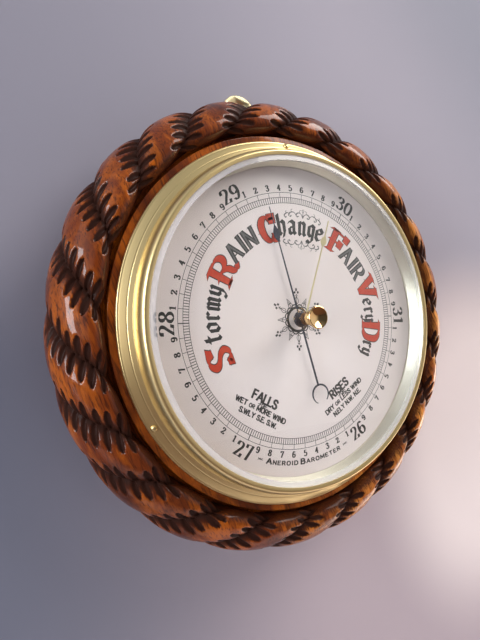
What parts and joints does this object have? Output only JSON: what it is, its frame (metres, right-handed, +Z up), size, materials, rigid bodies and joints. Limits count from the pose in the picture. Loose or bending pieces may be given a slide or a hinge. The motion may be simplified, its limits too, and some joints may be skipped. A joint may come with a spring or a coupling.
{
  "type": "marine barometer",
  "caption": "Round wall aneroid barometer in a carved oak rope case, with a brass bezel, bevelled glass, white weather dial, pointer, set hand and brass hanger.",
  "frame": {"origin": "point where the dial axis meets the wall, on the flat back of the case", "axes": "+Z up along the wall, +X to the right as the viewer sees the dial, +Y into the wall; the dial faces -Y"},
  "size_m": [0.2963, 0.0841, 0.3214],
  "materials": {
    "oak": "varnished oak, glossy",
    "oak_back": "plain stained oak, satin",
    "polished_brass": "polished and lacquered",
    "pale_brass": "satin pale brass",
    "silvered_brass": "silvered, satin",
    "movement_brass": "brushed brass",
    "dial_white": "white enamelled plate, satin",
    "blued_steel": "blued black, glossy",
    "steel": "brushed steel",
    "nickel_silver": "nickel silver, satin",
    "leather": "plain leather",
    "glass": "clear, bevelled edge"
  },
  "bodies": {
    "case": {"rope_case": "oak", "back_cover": "oak_back", "back_cover_screw_1": "pale_brass", "back_cover_screw_2": "pale_brass", "back_cover_screw_3": "pale_brass", "back_cover_screw_4": "pale_brass", "hanger_plate": "pale_brass", "hanger_screw_1": "pale_brass", "hanger_screw_2": "pale_brass", "hanger_screw_3": "pale_brass", "bezel": "polished_brass", "bezel_pin_1": "polished_brass", "bezel_pin_2": "polished_brass", "bezel_pin_3": "polished_brass", "glass": "glass", "reflector_ring": "silvered_brass", "dial": "dial_white", "dial_ring": "movement_brass", "base_plate": "movement_brass", "pillar_1": "movement_brass", "pillar_2": "movement_brass", "pillar_3": "movement_brass", "arbor_plate": "movement_brass", "arbor_cock": "movement_brass", "hairspring_stud": "movement_brass", "capsule_foot": "movement_brass", "shaft_bearing_front": "movement_brass", "shaft_bearing_rear": "movement_brass", "outer_washer": "leather", "inner_washer": "leather", "base_screw_1": "steel", "base_screw_2": "steel", "base_screw_3": "steel", "pillar_screw_1": "steel", "pillar_screw_2": "steel", "pillar_screw_3": "steel", "hairspring": "steel", "carriage": "steel", "carriage_screw_1": "steel", "carriage_screw_2": "steel", "mainspring": "steel", "spring_screw_1": "steel", "spring_screw_2": "steel", "capsule_lower": "nickel_silver", "capsule_upper": "nickel_silver"},
    "set_hand_assembly": {"setting_knob": "polished_brass", "setting_stem": "polished_brass", "set_hand": "pale_brass", "set_hand_nut": "pale_brass"},
    "pointer_assembly": {"pointer": "blued_steel", "pointer_boss": "blued_steel", "arbor": "steel", "hairspring_collar": "movement_brass"},
    "main_lever": {"main_lever": "movement_brass"},
    "link": {"link": "steel"},
    "rocking_shaft": {"rocking_shaft": "steel"},
    "chain": {"chain": "steel"},
    "capsule_post": {"capsule_post": "movement_brass"},
    "adjusting_screw": {"adjusting_screw": "steel"}
  },
  "joints": [
    {"name": "set_hand_turn", "type": "hinge", "parent": "case", "child": "set_hand_assembly", "pos_m": [0, -0.07, 0], "axis": [0, 1, 0], "continuous": true},
    {"name": "pointer_turn", "type": "hinge", "parent": "case", "child": "pointer_assembly", "pos_m": [0, -0.05, 0], "axis": [0, 1, 0], "range_deg": [-195.4, 104.6], "stiffness_Nm_per_rad": 0.002},
    {"name": "rocking_turn", "type": "hinge", "parent": "case", "child": "rocking_shaft", "pos_m": [0.026, -0.025, -0.01], "axis": [0, 0, 1], "range_deg": [-19.1, 10.3]},
    {"name": "main_lever_turn", "type": "hinge", "parent": "case", "child": "main_lever", "pos_m": [-0.013, -0.0435, -0.017], "axis": [0, 0, 1], "range_deg": [-3.3, 1.8]},
    {"name": "link_turn", "type": "hinge", "parent": "main_lever", "child": "link", "pos_m": [0.034, -0.0471, -0.0147], "axis": [0, 0, 1], "range_deg": [-1.8, 3.3]},
    {"name": "chain_draw", "type": "slide", "parent": "case", "child": "chain", "axis": [1, 0, 0], "range_m": [-0.006, 0.0033]},
    {"name": "post_travel", "type": "slide", "parent": "case", "child": "capsule_post", "axis": [0, 1, 0], "range_m": [-0.0004, 0.00022]},
    {"name": "adjusting_turn", "type": "hinge", "parent": "case", "child": "adjusting_screw", "pos_m": [-0.04, -0.015, -0.017], "axis": [0, 1, 0], "range_deg": [-360, 360]}
  ],
  "couplings": [
    {"joint": "rocking_turn", "follows": "pointer_turn", "ratio": 0.097222},
    {"joint": "main_lever_turn", "follows": "pointer_turn", "ratio": 0.016548},
    {"joint": "link_turn", "follows": "pointer_turn", "ratio": -0.016548},
    {"joint": "chain_draw", "follows": "pointer_turn", "m_per_rad": 0.00175},
    {"joint": "post_travel", "follows": "pointer_turn", "m_per_rad": 0.00011584}
  ]
}
